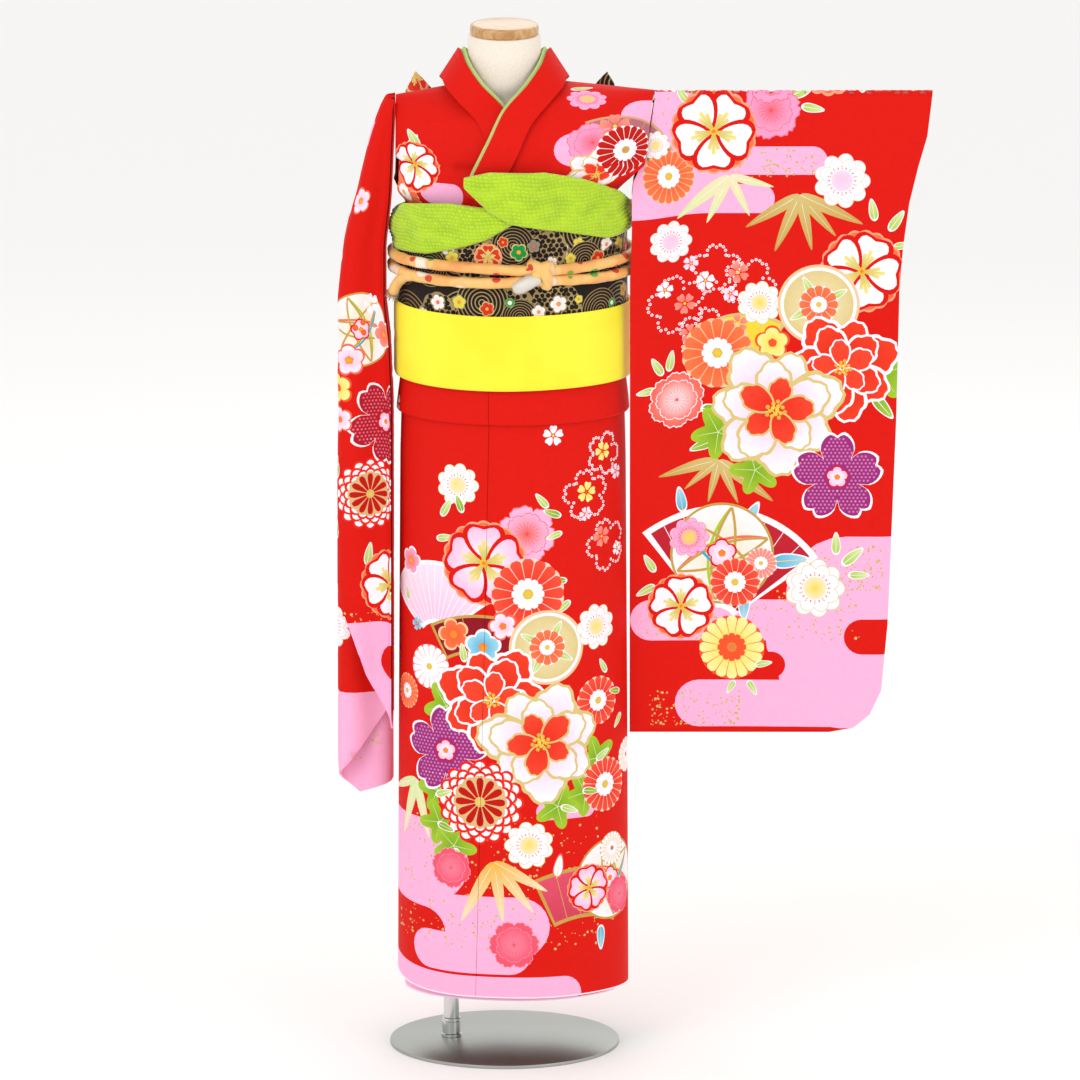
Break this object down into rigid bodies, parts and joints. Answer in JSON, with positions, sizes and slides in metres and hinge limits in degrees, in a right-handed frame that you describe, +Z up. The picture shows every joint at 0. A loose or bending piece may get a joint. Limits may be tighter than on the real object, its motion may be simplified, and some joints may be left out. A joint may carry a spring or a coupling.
{
  "type": "child's festival kimono with obi on a dress form",
  "caption": "Child's long-sleeved festival kimono with brocade obi, bow, cord and yellow under-sash, worn by a limbless dress form on a round steel stand.",
  "frame": {"origin": "centre of the base plate's underside", "axes": "+X to the spread sleeve, which is the wearer's left, +Y to the garment's back, +Z up along the pole"},
  "size_m": [0.67, 0.2896, 1.1801],
  "materials": {
    "printed_cloth": "printed silk-like crepe",
    "green_collar": "plain fine weave",
    "brocade": "woven brocade",
    "lime_shibori": "dimpled tie-dyed silk",
    "cord_cloth": "padded brocade cord",
    "yellow_sash": "soft satin",
    "linen": "plain linen",
    "turned_wood": "clear varnish",
    "bright_pole": "polished",
    "satin_plate": "satin"
  },
  "bodies": {
    "root": {"body_left": "printed_cloth", "body_right": "printed_cloth", "okumi_left": "printed_cloth", "okumi_right": "printed_cloth", "collar": "printed_cloth", "second_collar": "green_collar", "sleeve_left": "printed_cloth", "sleeve_right": "printed_cloth", "obi_wrap": "brocade", "bow_loop_left": "brocade", "bow_loop_right": "brocade", "bow_knot": "brocade", "bow_drum": "brocade", "obijime": "cord_cloth", "obiage_over": "lime_shibori", "obiage_under": "lime_shibori", "shigoki_wrap": "yellow_sash", "shigoki_knot": "yellow_sash", "form_body": "linen", "neck_cap": "turned_wood", "sleeve_rod": "bright_pole", "pole": "bright_pole", "pole_collar": "bright_pole", "base_plate": "satin_plate"}
  },
  "joints": []
}
